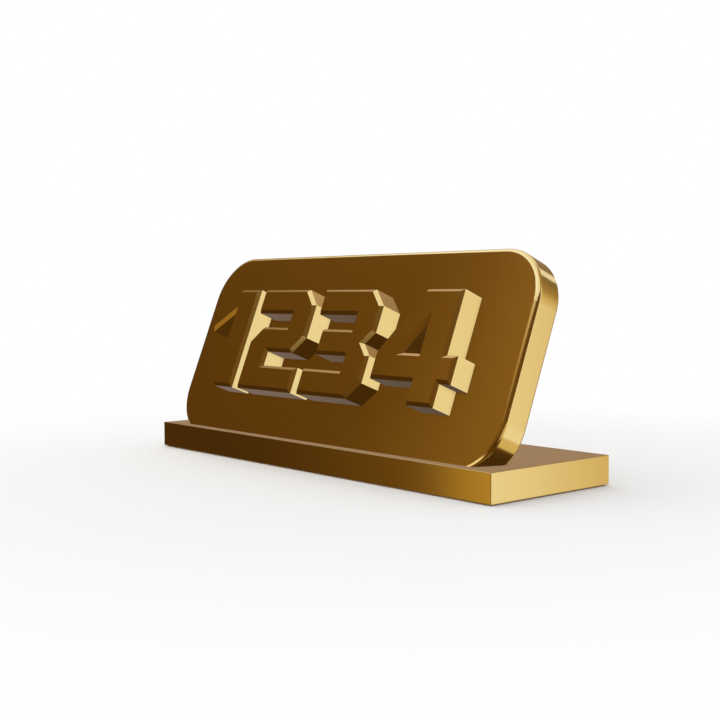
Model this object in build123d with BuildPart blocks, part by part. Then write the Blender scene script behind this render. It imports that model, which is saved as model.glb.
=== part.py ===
from build123d import *

import os
from math import cos, radians, sin, tan

# Desk name plate, all lengths in millimetres and angles in degrees.
# A leaning plate with four raised figures stands in a slanted groove across a slab base.
# Hidden pins hold the figures, screws from below hold the plate, and rubber pads keep the
# slab off the desk. The origin is on the desk under the middle of the slab, with +X to the
# right as the figures are read and -Y to the front.

# Raised figures
figure_depth = 10.0
figure_bevel = 1.3
figure_gap = 3.9
stem_width = 13.5
bar_height = 10.45
counter_height = 6.05
one_flag_reach = 13.0
one_flag_drop = 9.0
two_width = 36.2
two_corner_cut = 6.5
three_width = 36.2
three_corner_cut = 6.5
three_tongue_setback = 5.0
three_waist_depth = 4.5
four_reach = 22.5
four_overhang = 5.4
four_bar_rise = 8.6
four_top_setback = 5.0
four_slant_width = 14.0

# Leaning plate
plate_thickness = 11.4
plate_lean = 21.75
plate_end_margin = 20.2
plate_head_margin = 19.15
plate_foot_margin = 16.5
plate_corner_radius = 20.0
plate_edge_round = 1.6
plate_back_bevel_width = 0.5
plate_back_bevel_depth = 1.0

# Slab base and its groove, with base_web the metal left under the groove's deepest corner
base_depth = 61.0
base_end_margin = 3.8
base_web = 3.1
base_edge_chamfer = 0.12
plate_setback = 4.55
groove_depth = 3.3
groove_clearance = 0.1

# Pins that hold the figures, half in the figure and half in the plate
pin_radius = 1.5
pin_length = 12.0
pin_clearance = 0.05
pin_spare_depth = 0.5

# Screws that hold the plate, from below
base_screw_radius = 2.0
base_screw_head_radius = 3.75
base_screw_bite = 11.5
base_screw_socket_radius = 1.45
base_screw_socket_depth = 1.5
base_screw_end_distance = 31.0
base_screw_sink = 0.2
base_screw_clearance = 0.2
base_tap_clearance = 0.05
base_tap_spare_depth = 1.0
countersink_angle = 90

# Rubber pads
pad_radius = 6.0
pad_thickness = 1.5
pad_stand = 0.5
pad_edge_margin = 6.0
pad_clearance = 0.1

# How far a cut runs past the face that it opens
overrun = 1.0

# Row of figures, from left to right
one_width = one_flag_reach + stem_width
four_width = four_reach + stem_width + four_overhang
figure_widths = [one_width, two_width, three_width, four_width]
row_width = sum(figure_widths) + figure_gap * (len(figure_widths) - 1)
figure_lefts = [
    sum(figure_widths[:place]) + figure_gap * place - row_width / 2
    for place in range(len(figure_widths))
]
figure_height = 3 * bar_height + 2 * counter_height

# Sizes that follow from the figures, the lean and the groove
lean_sin = sin(radians(plate_lean))
lean_cos = cos(radians(plate_lean))
lean_tan = tan(radians(plate_lean))
plate_width = row_width + 2 * plate_end_margin
plate_height = groove_depth + plate_foot_margin + figure_height + plate_head_margin
base_width = plate_width + 2 * base_end_margin
base_height = base_web + groove_depth * lean_cos + plate_thickness * lean_sin
base_top = pad_stand + base_height

# Plane of the plate's front face, from the line where it meets the top of the slab.
# Its X runs along the slab, its Y up the slope, and its Z out of the face.
plate_plane = Plane(
    origin=(0, plate_setback - base_depth / 2, base_top),
    x_dir=(1, 0, 0),
    z_dir=(0, -lean_cos, lean_sin),
)
plate_normal = Axis(plate_plane.origin, plate_plane.z_dir)

# The plate's screws stand in the slope, half way through its thickness. Their heads sit
# in round pockets, deep enough that the slanted head stays inside the underside.
foot_centre_rise = base_web + plate_thickness / 2 * lean_sin
base_screw_head_height = (base_screw_head_radius - base_screw_radius) / tan(
    radians(countersink_angle / 2)
)
base_screw_bore_radius = base_screw_radius + base_screw_clearance
base_screw_pocket_radius = base_screw_head_radius + base_screw_clearance
base_screw_grip = (
    foot_centre_rise / lean_cos - base_screw_pocket_radius * lean_tan - base_screw_sink
)
plate_foot_plane = Plane(
    origin=plate_plane.from_local_coords((0, -groove_depth, -plate_thickness / 2)),
    x_dir=plate_plane.x_dir,
    z_dir=-plate_plane.y_dir,
)
base_screw_plane = plate_foot_plane.offset(base_screw_grip)
base_screw_reach = plate_width / 2 - base_screw_end_distance
base_screw_points = [(-base_screw_reach, 0), (0, 0), (base_screw_reach, 0)]
base_tap_radius = base_screw_radius + base_tap_clearance
base_tap_depth = base_screw_bite + base_tap_spare_depth

# Two pins in each figure, placed from the figure's lower left corner
pin_hole_radius = pin_radius + pin_clearance
pin_hole_depth = pin_length / 2 + pin_spare_depth
one_pin_points = [
    (one_width - stem_width / 2, bar_height),
    (one_width - stem_width / 2, figure_height - bar_height),
]
two_pin_points = [
    (stem_width / 2, bar_height),
    (two_width - stem_width / 2, figure_height - bar_height),
]
three_pin_points = [
    (three_width - stem_width / 2, bar_height),
    (three_width - stem_width / 2, figure_height - bar_height),
]
four_pin_points = [
    (four_slant_width, four_bar_rise + bar_height / 2),
    (four_reach + stem_width / 2, figure_height - bar_height),
]
figure_pin_points = [one_pin_points, two_pin_points, three_pin_points, four_pin_points]
plate_pin_points = [
    (left + across, plate_foot_margin + up)
    for left, points in zip(figure_lefts, figure_pin_points)
    for across, up in points
]

pad_reach_x = base_width / 2 - pad_edge_margin - pad_radius
pad_reach_y = base_depth / 2 - pad_edge_margin - pad_radius
pad_recess_depth = pad_thickness - pad_stand

os.makedirs("parts", exist_ok=True)


# Slab base: a flat bar with the slanted groove, the plate's screw holes and the pad recesses
groove_height = plate_height + groove_clearance
with BuildPart() as base_slab:
    with BuildSketch(Plane.XY.offset(pad_stand)):
        Rectangle(base_width, base_depth)
    extrude(amount=base_height)
    chamfer(base_slab.edges(), length=base_edge_chamfer)
    with BuildSketch(plate_plane.offset(groove_clearance)):
        with Locations((0, groove_height / 2 - groove_depth)):
            RectangleRounded(
                plate_width + 2 * groove_clearance,
                groove_height,
                plate_corner_radius + groove_clearance,
            )
    extrude(amount=-plate_thickness - 2 * groove_clearance, mode=Mode.SUBTRACT)
    with BuildSketch(Plane.XY.offset(pad_stand)):
        with GridLocations(2 * pad_reach_x, 2 * pad_reach_y, 2, 2):
            Circle(pad_radius + pad_clearance)
    extrude(amount=pad_recess_depth, mode=Mode.SUBTRACT)
    with Locations(base_screw_plane):
        with Locations(*base_screw_points):
            CounterSinkHole(
                radius=base_screw_bore_radius,
                counter_sink_radius=base_screw_pocket_radius,
                depth=base_screw_grip + overrun,
                counter_sink_angle=countersink_angle,
            )
base_slab.part.label = "base_slab"
export_step(base_slab.part, "parts/base_slab.step")


# Leaning plate: a thick plate with large round corners, its front edge rounded and its back
# edge bevelled, drilled in front for the figures' pins and tapped in its foot
with BuildPart() as face_plate:
    with BuildSketch(plate_plane):
        with Locations((0, plate_height / 2 - groove_depth)):
            RectangleRounded(plate_width, plate_height, plate_corner_radius)
    extrude(amount=-plate_thickness)
    plate_faces = face_plate.faces().sort_by(plate_normal)
    fillet(plate_faces[-1].edges(), radius=plate_edge_round)
    chamfer(
        plate_faces[0].edges(),
        length=plate_back_bevel_width,
        length2=plate_back_bevel_depth,
        reference=plate_faces[0],
    )
    with Locations(plate_plane):
        with Locations(*plate_pin_points):
            Hole(pin_hole_radius, depth=pin_hole_depth)
    with BuildSketch(plate_foot_plane):
        with Locations(*base_screw_points):
            Circle(base_tap_radius)
    extrude(amount=-base_tap_depth, mode=Mode.SUBTRACT)
face_plate.part.label = "face_plate"
export_step(face_plate.part, "parts/face_plate.step")


# Outlines of the figures, each from its own lower left corner

# One: a stem with a slanted flag
with BuildSketch() as one_outline:
    with BuildLine():
        Polyline(
            (one_flag_reach, 0),
            (one_width, 0),
            (one_width, figure_height),
            (one_flag_reach, figure_height),
            (0, figure_height - one_flag_drop),
            (0, figure_height - one_flag_drop - bar_height),
            (one_flag_reach, figure_height - bar_height),
            close=True,
        )
    make_face()

# Two: three bars, joined by a stem at the upper right and one at the lower left
with BuildSketch() as two_outline:
    Rectangle(two_width, figure_height, align=Align.MIN)
    with Locations((0, figure_height - bar_height)):
        Rectangle(
            two_width - stem_width,
            counter_height,
            align=(Align.MIN, Align.MAX),
            mode=Mode.SUBTRACT,
        )
    with Locations((two_width, bar_height)):
        Rectangle(
            two_width - stem_width,
            counter_height,
            align=(Align.MAX, Align.MIN),
            mode=Mode.SUBTRACT,
        )
    two_columns = two_outline.vertices().group_by(Axis.X)
    two_left_corner = two_columns[0].sort_by(Axis.Y)[1]
    two_right_corners = two_columns[-1].sort_by(Axis.Y)[-2:]
    chamfer([two_left_corner, *two_right_corners], length=two_corner_cut)

# Three: three bars on a stem at the right, with cut outer corners and a nicked waist
with BuildSketch() as three_outline:
    Rectangle(three_width, figure_height, align=Align.MIN)
    chamfer(three_outline.vertices().group_by(Axis.X)[-1], length=three_corner_cut)
    with BuildLine():
        Polyline(
            (three_width, figure_height / 2 - three_waist_depth),
            (three_width, figure_height / 2 + three_waist_depth),
            (three_width - three_waist_depth, figure_height / 2),
            close=True,
        )
    make_face(mode=Mode.SUBTRACT)
    with Locations((0, figure_height / 2)):
        Rectangle(
            three_tongue_setback,
            figure_height - 2 * bar_height,
            align=(Align.MIN, Align.CENTER),
            mode=Mode.SUBTRACT,
        )
    for counter_foot in (bar_height, 2 * bar_height + counter_height):
        with Locations((0, counter_foot)):
            Rectangle(
                three_width - stem_width,
                counter_height,
                align=Align.MIN,
                mode=Mode.SUBTRACT,
            )

# Four: a stem, a bar across it and a slanted stroke, round a three-cornered opening
four_stem_right = four_reach + stem_width
four_shoulder = four_bar_rise + bar_height
four_top_left = four_reach - four_top_setback
four_slope = (figure_height - four_shoulder) / four_top_left
with BuildSketch() as four_outline:
    with BuildLine():
        Polyline(
            (four_reach, 0),
            (four_stem_right, 0),
            (four_stem_right, four_bar_rise),
            (four_width, four_bar_rise),
            (four_width, four_shoulder),
            (four_stem_right, four_shoulder),
            (four_stem_right, figure_height),
            (four_top_left, figure_height),
            (0, four_shoulder),
            (0, four_bar_rise),
            (four_reach, four_bar_rise),
            close=True,
        )
    make_face()
    with BuildLine():
        Polyline(
            (four_slant_width, four_shoulder),
            (four_reach, four_shoulder),
            (four_reach, four_shoulder + (four_reach - four_slant_width) * four_slope),
            close=True,
        )
    make_face(mode=Mode.SUBTRACT)


def raised_figure(outline, left, pin_points):
    """One figure on the plate's front face, with a bevelled front edge and a drilled back."""
    foot_plane = Plane(
        origin=plate_plane.from_local_coords((left, plate_foot_margin, 0)),
        x_dir=plate_plane.x_dir,
        z_dir=plate_plane.z_dir,
    )
    with BuildPart() as figure:
        with BuildSketch(foot_plane):
            add(outline)
        extrude(amount=figure_depth)
        front_face = figure.faces().sort_by(plate_normal)[-1]
        chamfer(front_face.edges(), length=figure_bevel)
        with BuildSketch(foot_plane):
            with Locations(*pin_points):
                Circle(pin_hole_radius)
        extrude(amount=pin_hole_depth, mode=Mode.SUBTRACT)
    return figure


# The four figures stand in a row on the plate
figure_names = ["figure_one", "figure_two", "figure_three", "figure_four"]
figure_outlines = [one_outline, two_outline, three_outline, four_outline]
for name, outline, left, points in zip(
    figure_names, figure_outlines, figure_lefts, figure_pin_points
):
    figure = raised_figure(outline.sketch, left, points)
    figure.part.label = name
    export_step(figure.part, f"parts/{name}.step")


# Figure pins: two plain pins behind each figure, across the joint with the plate
with BuildPart() as figure_pins:
    with BuildSketch(plate_plane.offset(-pin_length / 2)):
        with Locations(*plate_pin_points):
            Circle(pin_radius)
    extrude(amount=pin_length)
figure_pins.part.label = "figure_pins"
export_step(figure_pins.part, "parts/figure_pins.step")


# Base screws: three flat-head screws along the plate's foot, with hexagon sockets
with BuildPart() as base_screw:
    with BuildSketch(Plane.XZ):
        with BuildLine():
            Polyline(
                (0, 0),
                (base_screw_head_radius, 0),
                (base_screw_radius, -base_screw_head_height),
                (base_screw_radius, -base_screw_grip - base_screw_bite),
                (0, -base_screw_grip - base_screw_bite),
                close=True,
            )
        make_face()
    revolve(axis=Axis.Z)
    with BuildSketch():
        RegularPolygon(base_screw_socket_radius, 6)
    extrude(amount=-base_screw_socket_depth, mode=Mode.SUBTRACT)
with BuildPart(base_screw_plane) as base_screws:
    with Locations(*base_screw_points):
        add(base_screw.part)
base_screws.part.label = "base_screws"
export_step(base_screws.part, "parts/base_screws.step")


# Rubber pads: one in each recess under the slab, standing a little proud
pad_sides = {
    "pad_front_left": (-1, -1),
    "pad_front_right": (1, -1),
    "pad_rear_left": (-1, 1),
    "pad_rear_right": (1, 1),
}
for name, (across, back) in pad_sides.items():
    with BuildPart() as pad:
        with BuildSketch(Plane((across * pad_reach_x, back * pad_reach_y, 0))):
            Circle(pad_radius)
        extrude(amount=pad_thickness)
    pad.part.label = name
    export_step(pad.part, f"parts/{name}.step")
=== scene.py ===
from math import cos, radians, sin

import bmesh
import bpy
from mathutils import Matrix, Vector


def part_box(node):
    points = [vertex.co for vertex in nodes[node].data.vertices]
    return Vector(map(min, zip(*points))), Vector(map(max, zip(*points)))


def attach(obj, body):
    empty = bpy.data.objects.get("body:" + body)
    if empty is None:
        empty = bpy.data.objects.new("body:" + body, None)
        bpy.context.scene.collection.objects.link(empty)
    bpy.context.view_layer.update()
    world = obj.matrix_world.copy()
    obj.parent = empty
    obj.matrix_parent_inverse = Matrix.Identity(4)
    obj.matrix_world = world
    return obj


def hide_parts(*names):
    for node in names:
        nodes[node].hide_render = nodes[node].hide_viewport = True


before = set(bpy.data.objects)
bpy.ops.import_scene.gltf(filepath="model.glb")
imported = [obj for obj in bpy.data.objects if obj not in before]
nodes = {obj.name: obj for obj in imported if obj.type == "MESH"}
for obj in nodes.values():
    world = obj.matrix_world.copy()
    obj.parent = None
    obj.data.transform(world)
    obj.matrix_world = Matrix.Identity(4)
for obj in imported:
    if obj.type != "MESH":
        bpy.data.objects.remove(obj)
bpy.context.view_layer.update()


# Slab base
# A flat bar of brass, sawn to length and polished along it, its sharp edges broken with a stone and
# left dull, their narrow flats coloured darker as painted shade. A slanted groove across its top
# holds the plate, and rubber pads keep it off the desk.
MM = 0.001
NOISE_MIDDLE = 0.5
SHADE_SAMPLES = 8
# The Mix node's sockets for colours share their names with those for numbers, so they go by place.
FIRST_COLOUR = 6
SECOND_COLOUR = 7
MIXED_COLOUR = 2


class Wire:
    """A socket in a node tree. Sums and products of wires add the Math nodes they stand for."""

    def __init__(self, tree, socket=None):
        self.tree = tree
        self.socket = socket

    def node(self, kind, settings=None, inputs=None, output=0):
        """Adds a node, sets its settings, then gives its sockets their values or links."""
        made = self.tree.nodes.new(kind)
        for name, value in (settings or {}).items():
            if name == "stops":
                ramp = made.color_ramp.elements
                while len(ramp) < len(value):
                    ramp.new(1.0)
                for stop, (share, colour) in zip(ramp, value):
                    stop.position = share
                    stop.color = (*colour, 1.0)
            else:
                setattr(made, name, value)
        for name, value in (inputs or {}).items():
            if isinstance(value, Wire):
                self.tree.links.new(value.socket, made.inputs[name])
            else:
                made.inputs[name].default_value = value
        return Wire(self.tree, made.outputs[output] if made.outputs else None)

    def maths(self, operation, *values):
        return self.node("ShaderNodeMath", {"operation": operation}, dict(enumerate(values)))

    def mix(self, first, second):
        """A colour that goes from first to second as this wire goes from 0 to 1."""
        return self.node(
            "ShaderNodeMix",
            {"data_type": "RGBA"},
            {"Factor": self, FIRST_COLOUR: first, SECOND_COLOUR: second},
            MIXED_COLOUR,
        )

    def between(self, low, high):
        """0 below low, 1 above high, and a smooth step between."""
        return self.node(
            "ShaderNodeMapRange",
            {"interpolation_type": "SMOOTHSTEP"},
            {"Value": self, "From Min": low, "From Max": high},
        )

    def stretched(self, scale, turn=(0, 0, 0)):
        """A place stretched along its axes, then turned about them."""
        return self.node("ShaderNodeMapping", None, {"Vector": self, "Scale": scale, "Rotation": turn})

    def turned(self, turn):
        return self.stretched((1, 1, 1), turn)

    def part(self, axis):
        return self.node("ShaderNodeSeparateXYZ", None, {"Vector": self}, axis)

    def length(self):
        return self.node("ShaderNodeVectorMath", {"operation": "LENGTH"}, {0: self}, "Value")

    def noise(self, scale=1.0, detail=2.0):
        return self.node("ShaderNodeTexNoise", None, {"Vector": self, "Scale": scale, "Detail": detail})

    def swing(self, amount):
        """A noise taken about its middle, as a change up and down."""
        return amount * (self - NOISE_MIDDLE)

    def relief(self, height, strength=1.0):
        """The normal of a surface that rises by that height as this wire goes from 0 to 1."""
        return self.node("ShaderNodeBump", None, {"Height": self, "Distance": height, "Strength": strength})

    def crowding(self, reach, inside=False):
        """The share of the view out of a surface, or into it, that others within reach block."""
        clear = self.node(
            "ShaderNodeAmbientOcclusion",
            {"samples": SHADE_SAMPLES, "inside": inside, "only_local": inside},
            {"Distance": reach},
            "AO",
        )
        return 1.0 - clear

    def __add__(self, other):
        return self.maths("ADD", self, other)

    def __radd__(self, other):
        return self.maths("ADD", other, self)

    def __sub__(self, other):
        return self.maths("SUBTRACT", self, other)

    def __rsub__(self, other):
        return self.maths("SUBTRACT", other, self)

    def __mul__(self, other):
        return self.maths("MULTIPLY", self, other)

    def __rmul__(self, other):
        return self.maths("MULTIPLY", other, self)


def new_material(name):
    """An empty material, the root of its wires, and the place of each point of its surface."""
    material = bpy.data.materials.new(name)
    material.use_nodes = True
    material.node_tree.nodes.clear()
    root = Wire(material.node_tree)
    return material, root, root.node("ShaderNodeTexCoord", output="Object")


def finish_material(root, shader, inputs):
    surface = root.node(shader, None, inputs)
    root.node("ShaderNodeOutputMaterial", None, {"Surface": surface})


def dress(node_name, material):
    """Gives a node its finish, in place of the plain one that it came with."""
    for slot in nodes[node_name].material_slots:
        slot.material = material


BRASS = (0.81, 0.61, 0.25, 1.0)
RUBBED_BRASS = (0.85, 0.66, 0.30, 1.0)
RUBBED_STREAK_SHARE = 0.35
# Tarnish and painted shade: the darker brass laid where other metal stands close, in corners and between
# parts.
TARNISH_AND_SHADE_BRASS = (0.50, 0.33, 0.13, 1.0)
TARNISH_AND_SHADE_REACH = 2.5 * MM
TARNISH_AND_SHADE_LIMITS = (0.15, 0.75)
TARNISH_AND_SHADE_LEAST = 0.25
TARNISH_AND_SHADE_CLOUD = 0.5
TARNISH_ROUGHNESS = 0.2
EDGE_LEAST = 0.3
# Noise scales along the length of a piece, and across it both ways.
HAIRLINE = (12.0, 3200.0, 3200.0)
STREAK = (7.0, 420.0, 420.0)
SCRATCH = (26.0, 1500.0, 1500.0)
# The turn after the stretch makes the scratches fall elsewhere than the hairlines.
SCRATCH_TURN = (0, 0.2, 0.16)
SCRATCH_LIMITS = (0.70, 0.76)
SCRATCH_DEPTH = 0.6
HAIRLINE_HEIGHT = 0.0012 * MM
CLOUD_SCALE = 40.0
CLOUD_DETAIL = 3.0
GLOSS_SWING = 0.05


def polished_brass(name, lean, roughness, edge_mask, edge_brass, edge_roughness):
    """Brass polished along a leaning face, darkened in its corners by tarnish and by painted shade where
    other metal crowds in. Its edges have a colour of their own, and edge_roughness is what they add to the
    roughness."""
    material, root, place = new_material(name)
    face = place.turned((-lean, 0, 0))
    hairlines = face.stretched(HAIRLINE).noise()
    streaks = face.stretched(STREAK).noise()
    scratches = face.stretched(SCRATCH, SCRATCH_TURN).noise(detail=1.0).between(*SCRATCH_LIMITS)
    cloud = face.noise(CLOUD_SCALE, CLOUD_DETAIL)
    patches = TARNISH_AND_SHADE_LEAST + TARNISH_AND_SHADE_CLOUD * cloud
    # Painted shade as well as tarnish: the colour darkens where other metal blocks the view out of the
    # surface.
    tarnish_and_shade = root.crowding(TARNISH_AND_SHADE_REACH).between(*TARNISH_AND_SHADE_LIMITS) * patches
    edge = edge_mask(root) * (EDGE_LEAST + (1 - EDGE_LEAST) * streaks)
    rubbing = RUBBED_STREAK_SHARE * streaks + (1 - RUBBED_STREAK_SHARE) * cloud
    rubbed = rubbing.mix(BRASS, RUBBED_BRASS)
    gloss = roughness + cloud.swing(GLOSS_SWING) + hairlines.swing(GLOSS_SWING) + GLOSS_SWING * scratches
    finish_material(
        root,
        "ShaderNodeBsdfPrincipled",
        {
            "Base Color": tarnish_and_shade.mix(edge.mix(rubbed, edge_brass), TARNISH_AND_SHADE_BRASS),
            "Metallic": 1.0,
            "Roughness": gloss + TARNISH_ROUGHNESS * tarnish_and_shade + edge_roughness * edge,
            "Normal": (hairlines - SCRATCH_DEPTH * scratches).relief(HAIRLINE_HEIGHT),
        },
    )
    return material


SLAB_ROUGHNESS = 0.11
# Painted shade: a darker brass on the stoned edge flats, which dims the highlight they would catch.
STONED_SHADED_BRASS = (0.42, 0.28, 0.11, 1.0)
STONED_ROUGHNESS = 0.30
SQUARE_LIMITS = (0.75, 0.90)


def broken_edges(root):
    """The narrow flats where a stone took off the sharp edges, which face along no axis."""
    facing = root.node("ShaderNodeNewGeometry", output="True Normal")
    size = root.node("ShaderNodeVectorMath", {"operation": "ABSOLUTE"}, {0: facing})
    across, back, up = (size.part(axis) for axis in "XYZ")
    square = root.maths("MAXIMUM", root.maths("MAXIMUM", across, back), up)
    return 1.0 - square.between(*SQUARE_LIMITS)


slab_brass = polished_brass(
    "slab_brass",
    lean=0.0,
    roughness=SLAB_ROUGHNESS,
    edge_mask=broken_edges,
    edge_brass=STONED_SHADED_BRASS,
    edge_roughness=STONED_ROUGHNESS,
)
dress("base_slab", slab_brass)


# Base screws
# Three countersunk steel screws, turned from bar, with a hexagon socket pressed into the head.
# They come up through the slab from below and are driven into tapped holes in the plate's foot.
STEEL = (0.56, 0.56, 0.57, 1.0)
DULL_STEEL = (0.42, 0.42, 0.43, 1.0)
STAIN_SCALE = 350.0
STAIN_DETAIL = 3.0
STAIN_SWING = 0.12
TOOL_MARK_SWING = 0.08
TOOL_MARK_HEIGHT = 0.004 * MM
SCREW_MARKS = (4000.0, 900.0, 900.0)
SCREW_ROUGHNESS = 0.34


def machined_steel(name, marks, roughness):
    """Bright steel with fine tool marks, whose noise scale is given along each axis."""
    material, root, place = new_material(name)
    tool_marks = place.stretched(marks).noise(detail=1.0)
    stain = place.noise(STAIN_SCALE, STAIN_DETAIL)
    finish_material(
        root,
        "ShaderNodeBsdfPrincipled",
        {
            "Base Color": stain.mix(STEEL, DULL_STEEL),
            "Metallic": 1.0,
            "Roughness": roughness + stain.swing(STAIN_SWING) + tool_marks.swing(TOOL_MARK_SWING),
            "Normal": tool_marks.relief(TOOL_MARK_HEIGHT),
        },
    )
    return material


dress("base_screws", machined_steel("screw_steel", SCREW_MARKS, SCREW_ROUGHNESS))


# Leaning plate
# A thick brass plate with large round corners, its front edge rolled over by the polishing wheel.
# Its foot stands in the slab's groove, and its face is drilled for the pins of the figures.
PLATE_LEAN = radians(21.75)
PLATE_ROUGHNESS = 0.13
BRIGHT_BRASS = (0.90, 0.74, 0.40, 1.0)
BRIGHT_REACH = 0.7 * MM
BRIGHT_LIMITS = (0.10, 0.45)
BRIGHT_ROUGHNESS = -0.04


def rubbed_edges(root):
    """Edges that hands and cloths keep bright, found by how thin the metal is there."""
    return root.crowding(BRIGHT_REACH, inside=True).between(*BRIGHT_LIMITS)


plate_brass = polished_brass(
    "plate_brass",
    lean=PLATE_LEAN,
    roughness=PLATE_ROUGHNESS,
    edge_mask=rubbed_edges,
    edge_brass=BRIGHT_BRASS,
    edge_roughness=BRIGHT_ROUGHNESS,
)
dress("face_plate", plate_brass)


# Figure pins
# Eight plain ground steel pins, two behind each figure, half in the figure and half in the plate.
# Nothing of them shows once the figures are on.
PIN_MARKS = (5000.0, 5000.0, 700.0)
PIN_ROUGHNESS = 0.25
dress("figure_pins", machined_steel("pin_steel", PIN_MARKS, PIN_ROUGHNESS))


# Raised figures
# Four block figures cut from thick brass, with a flat bevel round the front face. Each one is
# pushed on to its pins and bonded flat against the plate.
FIGURES = ("figure_one", "figure_two", "figure_three", "figure_four")
FIGURE_ROUGHNESS = 0.12
figure_brass = polished_brass(
    "figure_brass",
    lean=PLATE_LEAN,
    roughness=FIGURE_ROUGHNESS,
    edge_mask=rubbed_edges,
    edge_brass=BRIGHT_BRASS,
    edge_roughness=BRIGHT_ROUGHNESS,
)
for figure in FIGURES:
    dress(figure, figure_brass)


# Rubber pads
# Four discs moulded from black rubber and pressed into round recesses under the slab. Rings in
# the lower face grip the desk, and their rounded rims come from the mould.
PADS = ("pad_front_left", "pad_front_right", "pad_rear_left", "pad_rear_right")
FULL_TURN = 360
PAD_SIDES = 64
PAD_RINGS = 4
PAD_RING_DEPTH = 0.32 * MM
PAD_RING_WIDTH = 0.7 * MM
PAD_MIDDLE_SHARE = 0.5
PAD_RIM_ROUND = 0.12 * MM
PAD_RIM_STEPS = 2
PAD_RIM_ANGLE = radians(60)
PAD_MERGE = 0.01 * MM
RUBBER = (0.030, 0.030, 0.032, 1.0)
RUBBER_ROUGHNESS = 0.72
RUBBER_GRAIN_SCALE = 5200.0
RUBBER_GRAIN_DETAIL = 3.0
RUBBER_GRAIN_HEIGHT = 0.02 * MM
RUBBER_GRAIN_STRENGTH = 0.6
RUBBER_GRAIN_SWING = 0.18
WORN_RUBBER = (0.085, 0.083, 0.080, 1.0)
WORN_ROUGHNESS = 0.12
DUST_SCALE = 520.0
DUST_DETAIL = 4.0
DUST_LIMITS = (0.35, 0.7)


def moulded_rubber(name):
    """Black rubber with a fine mould grain, greyed where it rubs on the desk."""
    material, root, place = new_material(name)
    grain = place.noise(RUBBER_GRAIN_SCALE, RUBBER_GRAIN_DETAIL)
    dust = place.noise(DUST_SCALE, DUST_DETAIL)
    worn = (1.0 - place.part("Z").between(0.0, PAD_RING_DEPTH)) * dust.between(*DUST_LIMITS)
    finish_material(
        root,
        "ShaderNodeBsdfPrincipled",
        {
            "Base Color": worn.mix(RUBBER, WORN_RUBBER),
            "Roughness": RUBBER_ROUGHNESS + grain.swing(RUBBER_GRAIN_SWING) + WORN_ROUGHNESS * worn,
            "Normal": grain.relief(RUBBER_GRAIN_HEIGHT, RUBBER_GRAIN_STRENGTH),
        },
    )
    return material


def add_piece(name, bm, material):
    """Makes a smooth-shaded object of a bmesh, whose place is in its vertices."""
    mesh = bpy.data.meshes.new(name)
    bm.to_mesh(mesh)
    bm.free()
    mesh.shade_smooth()
    mesh.materials.append(material)
    piece = bpy.data.objects.new(name, mesh)
    bpy.context.scene.collection.objects.link(piece)
    return piece


def moulded_pad(name, node_name, material):
    """One ringed disc, spun about the middle of its recess."""
    low, high = (Vector(corner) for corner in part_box(node_name))
    middle = (low + high) / 2
    radius = (high.x - low.x) / 2
    thickness = high.z - low.z
    ring_pitch = radius / (PAD_RINGS + PAD_MIDDLE_SHARE)
    profile = [(0, thickness), (radius, thickness), (radius, 0)]
    for ring in range(PAD_RINGS):
        outer = radius - ring * ring_pitch - PAD_RING_WIDTH
        inner = radius - (ring + 1) * ring_pitch
        profile += [(outer, 0), (outer, PAD_RING_DEPTH), (inner, PAD_RING_DEPTH), (inner, 0)]
    profile.append((0, 0))
    bm = bmesh.new()
    corners = [bm.verts.new((across, 0, up)) for across, up in profile]
    for start, end in zip(corners, corners[1:]):
        bm.edges.new((start, end))
    bmesh.ops.spin(
        bm,
        geom=bm.verts[:] + bm.edges[:],
        axis=(0, 0, 1),
        angle=radians(FULL_TURN),
        steps=PAD_SIDES,
        use_merge=True,
    )
    bmesh.ops.remove_doubles(bm, verts=bm.verts, dist=PAD_MERGE)
    bmesh.ops.recalc_face_normals(bm, faces=bm.faces)
    rims = [edge for edge in bm.edges if edge.is_manifold and edge.calc_face_angle() > PAD_RIM_ANGLE]
    bmesh.ops.bevel(
        bm,
        geom=rims,
        offset=PAD_RIM_ROUND,
        affect="EDGES",
        segments=PAD_RIM_STEPS,
        profile=0.5,
        material=-1,
    )
    bmesh.ops.translate(bm, verts=bm.verts, vec=(middle.x, middle.y, low.z))
    return add_piece(name, bm, material)


pad_rubber = moulded_rubber("pad_rubber")
pads = []
for pad_node in PADS:
    pad = moulded_pad(f"moulded_{pad_node}", pad_node, pad_rubber)
    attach(pad, "root")
    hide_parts(pad_node)
    pads.append(pad)


# Studio floor
# A plain pale floor that keeps the soft shadow under the slab and fades to white further out.
# It stays out of the polished metal, and so do the object's own pieces.
FLOOR_PALE = (0.93, 0.93, 0.93, 1.0)
PLAIN_WHITE = (1.0, 1.0, 1.0, 1.0)
FLOOR_FADE = (0.12, 0.30)
FLOOR_REACH = 20.0


def pale_floor():
    """Matt and pale near the object, and plain white at a distance."""
    material, root, place = new_material("floor")
    matt = root.node("ShaderNodeBsdfDiffuse", None, {"Color": FLOOR_PALE})
    white = root.node("ShaderNodeEmission", None, {"Color": PLAIN_WHITE})
    faded = place.length().between(*FLOOR_FADE)
    finish_material(root, "ShaderNodeMixShader", {"Fac": faded, 1: matt, 2: white})
    return material


floor_mesh = bmesh.new()
bmesh.ops.create_grid(floor_mesh, x_segments=1, y_segments=1, size=FLOOR_REACH)
floor = add_piece("floor", floor_mesh, pale_floor())
for unmirrored in (floor, *nodes.values(), *pads):
    unmirrored.visible_glossy = False


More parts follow.
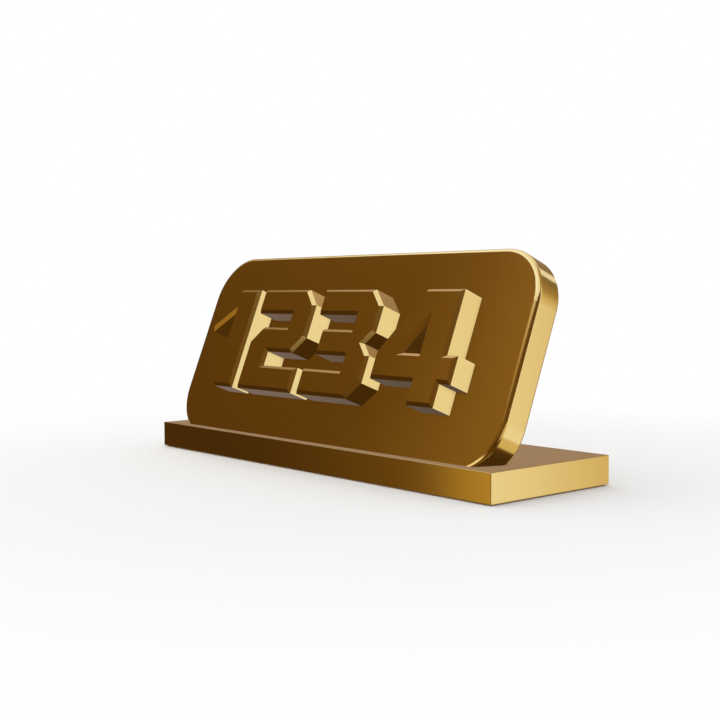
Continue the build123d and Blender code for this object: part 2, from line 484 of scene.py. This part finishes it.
# Studio screens
# Painted screens that stand in a ring round the table, out of the picture. They show only in the
# polished metal, and give its faces their browns and golds under a white surround.
SCREEN_RING = 1.0
SCREEN_STEPS = 32
GROUND_SIDES = 48
QUARTER_TURN = 90
UMBER = (0.066, 0.032, 0.0065)
BROWN = (0.13, 0.063, 0.011)
AMBER = (0.26, 0.145, 0.03)
HONEY = (0.52, 0.33, 0.07)
OCHRE = (0.42, 0.29, 0.11)
GOLD = (0.75, 0.61, 0.335)
CREAM = (0.92, 0.82, 0.60)
IVORY = (0.99, 0.95, 0.82)
WHITE = (1.0, 1.0, 1.0)
BRIGHT = (1.15, 1.22, 1.50)
DUSK = (0.37, 0.26, 0.18)
SLATE = (0.128, 0.102, 0.102)


def hang_screen(name, bm, material):
    """Adds a screen that the camera doesn't see, and that neither lights the floor nor shades it."""
    screen = add_piece(name, bm, material)
    screen.visible_camera = False
    screen.visible_diffuse = False
    screen.visible_shadow = False


def compass_share(angle):
    """The share of a full turn, counted from the back, at which an angle from the front lies."""
    return angle / FULL_TURN + 0.5


def compass_wire(root, place):
    """Goes round the ring as compass_share does."""
    from_back = place.turned((0, 0, radians(QUARTER_TURN)))
    return root.node("ShaderNodeTexGradient", {"gradient_type": "RADIAL"}, {"Vector": from_back}, "Fac")


def climb_wire(place, low, high):
    """Goes from 0 at the low height to 1 at the high one."""
    return (place.part("Z") - low) * (1 / (high - low))


def paint_along(wire, stops):
    """The stops' colours along a wire. Each stop is a share of it, a colour and its strength."""
    ramp = [(share, [strength * part for part in colour]) for share, colour, strength in stops]
    return wire.node("ShaderNodeValToRGB", {"stops": ramp}, {"Fac": wire})


def ring_screen(name, compass, heights, material):
    """Part of the ring, between two angles from the front and two heights."""
    start, end = (radians(angle - QUARTER_TURN) for angle in compass)
    bm = bmesh.new()
    foot, top = (
        bm.verts.new((SCREEN_RING * cos(start), SCREEN_RING * sin(start), height)) for height in heights
    )
    bm.edges.new((foot, top))
    bmesh.ops.spin(
        bm,
        geom=bm.verts[:] + bm.edges[:],
        axis=(0, 0, 1),
        angle=end - start,
        steps=SCREEN_STEPS,
    )
    hang_screen(name, bm, material)


def screen_across(name, heights, stops, foot_glow=1.0, top_glow=1.0, slant=0):
    """A screen whose colours change with the angle. Its glow changes from the foot to the top, and
    slant is the degrees by which each metre of height moves the colours back."""
    material, root, place = new_material(name)
    compass = compass_wire(root, place) + slant / FULL_TURN * place.part("Z")
    paint = paint_along(compass, [(compass_share(angle), *colour) for angle, *colour in stops])
    glow = foot_glow + (top_glow - foot_glow) * climb_wire(place, *heights)
    finish_material(root, "ShaderNodeEmission", {"Color": paint, "Strength": glow})
    ring_screen(name, (stops[0][0], stops[-1][0]), heights, material)


def screen_rising(name, compass, stops):
    """A screen whose colours change with the height."""
    low, high = stops[0][0], stops[-1][0]
    material, root, place = new_material(name)
    shares = [((height - low) / (high - low), *colour) for height, *colour in stops]
    paint = paint_along(climb_wire(place, low, high), shares)
    finish_material(root, "ShaderNodeEmission", {"Color": paint})
    ring_screen(name, compass, (low, high), material)


# Angles at which screens meet or end, in degrees from the front to the right.
LOW_LEFT_END = -112
LEFT_END = -110
LOW_LEFT_SEAM = -76
LEFT_SEAM = -74
FRONT_SEAM = -38
RIGHT_SEAM = 28
RIGHT_END = 118
BACK_END = 171
FAR_START = 184
FAR_SEAM = 224
FAR_END = 250
# Heights at which screens meet or end, in metres.
SCREEN_TOP = 2.40
BRIGHT_FOOT = 1.00
BACK_SEAM = 0.52
FRONT_CARD_TOP = 0.26
FRONT_LOW_TOP = 0.20
RIGHT_CARD_TOP = 0.05
FAR_FOOT = -0.12
RIGHT_CARD_FOOT = -0.30
FRONT_LOW_FOOT = -0.36
FAR_LOW_FOOT = -0.90
GROUND_LEVEL = -1.20

screen_across(
    "screen_bright", (BRIGHT_FOOT, SCREEN_TOP), [(LEFT_END, BRIGHT, 1.0), (RIGHT_SEAM, BRIGHT, 1.0)]
)
# The plate's face and the fronts of the figures show this one to the camera.
screen_across(
    "screen_front_left",
    (FRONT_LOW_TOP, 0.92),
    [
        (LEFT_SEAM, BROWN, 0.91),
        (-62, BROWN, 1.03),
        (-52, BROWN, 1.08),
        (-44, AMBER, 0.95),
        (FRONT_SEAM, AMBER, 1.10),
    ],
    foot_glow=0.82,
    top_glow=1.41,
)
screen_rising(
    "screen_front",
    (FRONT_SEAM, RIGHT_SEAM),
    [
        (FRONT_CARD_TOP, AMBER, 0.72),
        (0.60, AMBER, 0.85),
        (0.76, OCHRE, 1.30),
        (0.88, CREAM, 0.92),
        (BRIGHT_FOOT, BRIGHT, 1.0),
    ],
)
screen_rising(
    "screen_left",
    (LEFT_END, LEFT_SEAM),
    [
        (FRONT_LOW_TOP, BROWN, 0.70),
        (0.38, BROWN, 0.70),
        (0.50, OCHRE, 0.63),
        (0.70, DUSK, 1.50),
        (0.84, IVORY, 0.90),
        (BRIGHT_FOOT, BRIGHT, 1.0),
    ],
)
screen_across(
    "screen_right",
    (RIGHT_CARD_TOP, 0.72),
    [(RIGHT_SEAM, AMBER, 0.66), (70, BROWN, 1.15), (RIGHT_END, BROWN, 1.0)],
)
screen_across(
    "screen_right_card",
    (RIGHT_CARD_FOOT, RIGHT_CARD_TOP),
    [(RIGHT_SEAM, BROWN, 0.70), (64, BROWN, 0.70), (78, GOLD, 0.90), (RIGHT_END, GOLD, 1.10)],
)
screen_across(
    "screen_right_foot",
    (GROUND_LEVEL, RIGHT_CARD_FOOT),
    [(RIGHT_SEAM, BROWN, 0.90), (RIGHT_END, BROWN, 0.90)],
)
# The right ends of the slab, the plate and the figures show this one to the camera.
screen_across(
    "screen_back",
    (-0.40, BACK_SEAM),
    [
        (126, WHITE, 1.04),
        (133, IVORY, 1.0),
        (140, GOLD, 1.0),
        (148, OCHRE, 1.0),
        (BACK_END, OCHRE, 0.45),
    ],
)
screen_across(
    "screen_back_high", (BACK_SEAM, SCREEN_TOP), [(98, OCHRE, 1.08), (BACK_END, OCHRE, 0.85)]
)
# The slab's top shows this one to the camera, and the undersides of the figures the next.
screen_rising(
    "screen_far",
    (FAR_START, FAR_END),
    [
        (FAR_FOOT, DUSK, 1.0),
        (0.30, DUSK, 1.0),
        (0.50, OCHRE, 0.60),
        (0.60, DUSK, 1.15),
        (0.73, DUSK, 1.70),
        (0.90, WHITE, 1.0),
    ],
)
screen_rising(
    "screen_far_low",
    (FAR_SEAM, FAR_END),
    [
        (FAR_LOW_FOOT, UMBER, 1.0),
        (-0.53, UMBER, 1.0),
        (-0.47, SLATE, 0.85),
        (-0.38, SLATE, 1.30),
        (-0.30, SLATE, 1.90),
        (FAR_FOOT, SLATE, 1.90),
    ],
)
screen_across(
    "screen_far_foot", (FAR_LOW_FOOT, FAR_FOOT), [(FAR_START, OCHRE, 0.90), (FAR_SEAM, OCHRE, 0.90)]
)
screen_rising(
    "screen_left_low",
    (LOW_LEFT_END, LOW_LEFT_SEAM),
    [
        (FRONT_LOW_FOOT, GOLD, 0.90),
        (-0.10, GOLD, 0.90),
        (0.00, UMBER, 1.04),
        (FRONT_LOW_TOP, UMBER, 1.04),
    ],
)
# The slab's front shows this one to the camera.
screen_across(
    "screen_front_low",
    (FRONT_LOW_FOOT, FRONT_LOW_TOP),
    [
        (LOW_LEFT_SEAM, UMBER, 1.04),
        (-54, UMBER, 1.13),
        (-50, UMBER, 1.60),
        (-46, BROWN, 1.08),
        (-43.5, BROWN, 1.18),
        (-41.8, BROWN, 1.12),
        (-40.2, HONEY, 0.78),
        (FRONT_SEAM, HONEY, 1.02),
    ],
)
# The rounded edge at the plate's low right corner shows this one to the camera.
screen_across(
    "screen_front_card",
    (FRONT_LOW_FOOT, FRONT_CARD_TOP),
    [
        (FRONT_SEAM, HONEY, 1.02),
        (-34, GOLD, 1.13),
        (-30, CREAM, 1.30),
        (-6, CREAM, 1.30),
        (-2, GOLD, 0.95),
        (2, AMBER, 1.0),
        (9, BROWN, 1.20),
        (18, BROWN, 1.15),
        (RIGHT_SEAM, BROWN, 0.75),
    ],
    slant=65,
)
screen_across(
    "screen_front_foot",
    (GROUND_LEVEL, FRONT_LOW_FOOT),
    [
        (LOW_LEFT_END, UMBER, 1.0),
        (-54, UMBER, 1.10),
        (-40, BROWN, 1.0),
        (-24, AMBER, 1.40),
        (-8, AMBER, 1.40),
        (0, BROWN, 0.90),
        (RIGHT_SEAM, BROWN, 0.90),
    ],
)
screen_rising(
    "screen_right_low",
    (RIGHT_END, 160),
    [(GROUND_LEVEL, UMBER, 1.0), (-0.82, BROWN, 0.80), (-0.79, GOLD, 1.05), (-0.45, GOLD, 1.05)],
)

GROUND_STOPS = [(0.56, BROWN, 0.65), (0.70, AMBER, 0.80), (1.00, OCHRE, 1.0)]
GROUND_SHADE_START = (118, 126)
GROUND_SHADE_END = (164, 176)


def ground_paint():
    """Brown in the middle and ochre at the rim, with a dark sector at the back on the right."""
    material, root, place = new_material("screen_ground")
    paint = paint_along(place.stretched((1, 1, 0)).length(), GROUND_STOPS)
    compass = compass_wire(root, place)
    past_start, past_end = (
        compass.between(compass_share(first), compass_share(last))
        for first, last in (GROUND_SHADE_START, GROUND_SHADE_END)
    )
    shaded = (past_start - past_end).mix(paint, (*UMBER, 1.0))
    finish_material(root, "ShaderNodeEmission", {"Color": shaded})
    return material


ground = bmesh.new()
bmesh.ops.create_circle(ground, cap_ends=True, segments=GROUND_SIDES, radius=SCREEN_RING)
bmesh.ops.translate(ground, verts=ground.verts, vec=(0, 0, GROUND_LEVEL))
hang_screen("screen_ground", ground, ground_paint())


# Studio light
# One wide soft lamp overhead and to the left, and an even white surround that shows full white
# behind the object and in the polished metal.
LAMP_WIDTH = 1.6
LAMP_DEPTH = 1.2
LAMP_POWER = 6.0
LAMP_PLACE = Vector((-0.3, -0.1, 1.2))
LAMP_AIM = Vector((0, 0, 0.03))
SURROUND_LIGHT = 0.75
SURROUND_SEEN = 1.0
lamp = bpy.data.lights.new("overhead", "AREA")
lamp.shape = "RECTANGLE"
lamp.size = LAMP_WIDTH
lamp.size_y = LAMP_DEPTH
lamp.energy = LAMP_POWER
overhead = bpy.data.objects.new("overhead", lamp)
overhead.location = LAMP_PLACE
overhead.rotation_euler = (LAMP_AIM - LAMP_PLACE).to_track_quat("-Z", "Y").to_euler()
overhead.visible_glossy = False
bpy.context.scene.collection.objects.link(overhead)

world = bpy.data.worlds.new("surround")
bpy.context.scene.world = world
world.use_nodes = True
world.node_tree.nodes.clear()
sky = Wire(world.node_tree)
seen_directly, seen_in_metal, seen_through = (
    sky.node("ShaderNodeLightPath", output=f"Is {ray} Ray") for ray in ("Camera", "Glossy", "Transmission")
)
seen = sky.maths("MINIMUM", seen_directly + seen_in_metal + seen_through, 1.0)
light, white = (
    sky.node("ShaderNodeBackground", None, {"Color": PLAIN_WHITE, "Strength": strength})
    for strength in (SURROUND_LIGHT, SURROUND_SEEN)
)
surround = sky.node("ShaderNodeMixShader", None, {"Fac": seen, 1: light, 2: white})
sky.node("ShaderNodeOutputWorld", None, {"Surface": surround})


# Camera
# Stands at the right of the front, a little above the slab, where the photograph was taken from.
# Its view is level but for a slight tilt down and a slight roll.
CAMERA_PLACE = Vector((0.353322, -0.302684, 0.069143))
AZIMUTH = radians(49.395)
ELEVATION = radians(3.375)
ROLL = radians(-0.267)
LENS = 58.126
SENSOR_WIDTH = 36.0
back = Vector((sin(AZIMUTH) * cos(ELEVATION), -cos(AZIMUTH) * cos(ELEVATION), sin(ELEVATION)))
level = Vector((cos(AZIMUTH), sin(AZIMUTH), 0))
rise = back.cross(level)
right = cos(ROLL) * level + sin(ROLL) * rise
up = cos(ROLL) * rise - sin(ROLL) * level
camera_data = bpy.data.cameras.new("camera")
camera_data.lens = LENS
camera_data.sensor_width = SENSOR_WIDTH
camera = bpy.data.objects.new("camera", camera_data)
turn = Matrix((right, up, back)).transposed().to_4x4()
camera.matrix_world = Matrix.Translation(CAMERA_PLACE) @ turn
bpy.context.scene.collection.objects.link(camera)
bpy.context.scene.camera = camera
bpy.context.scene.view_settings.view_transform = "Standard"
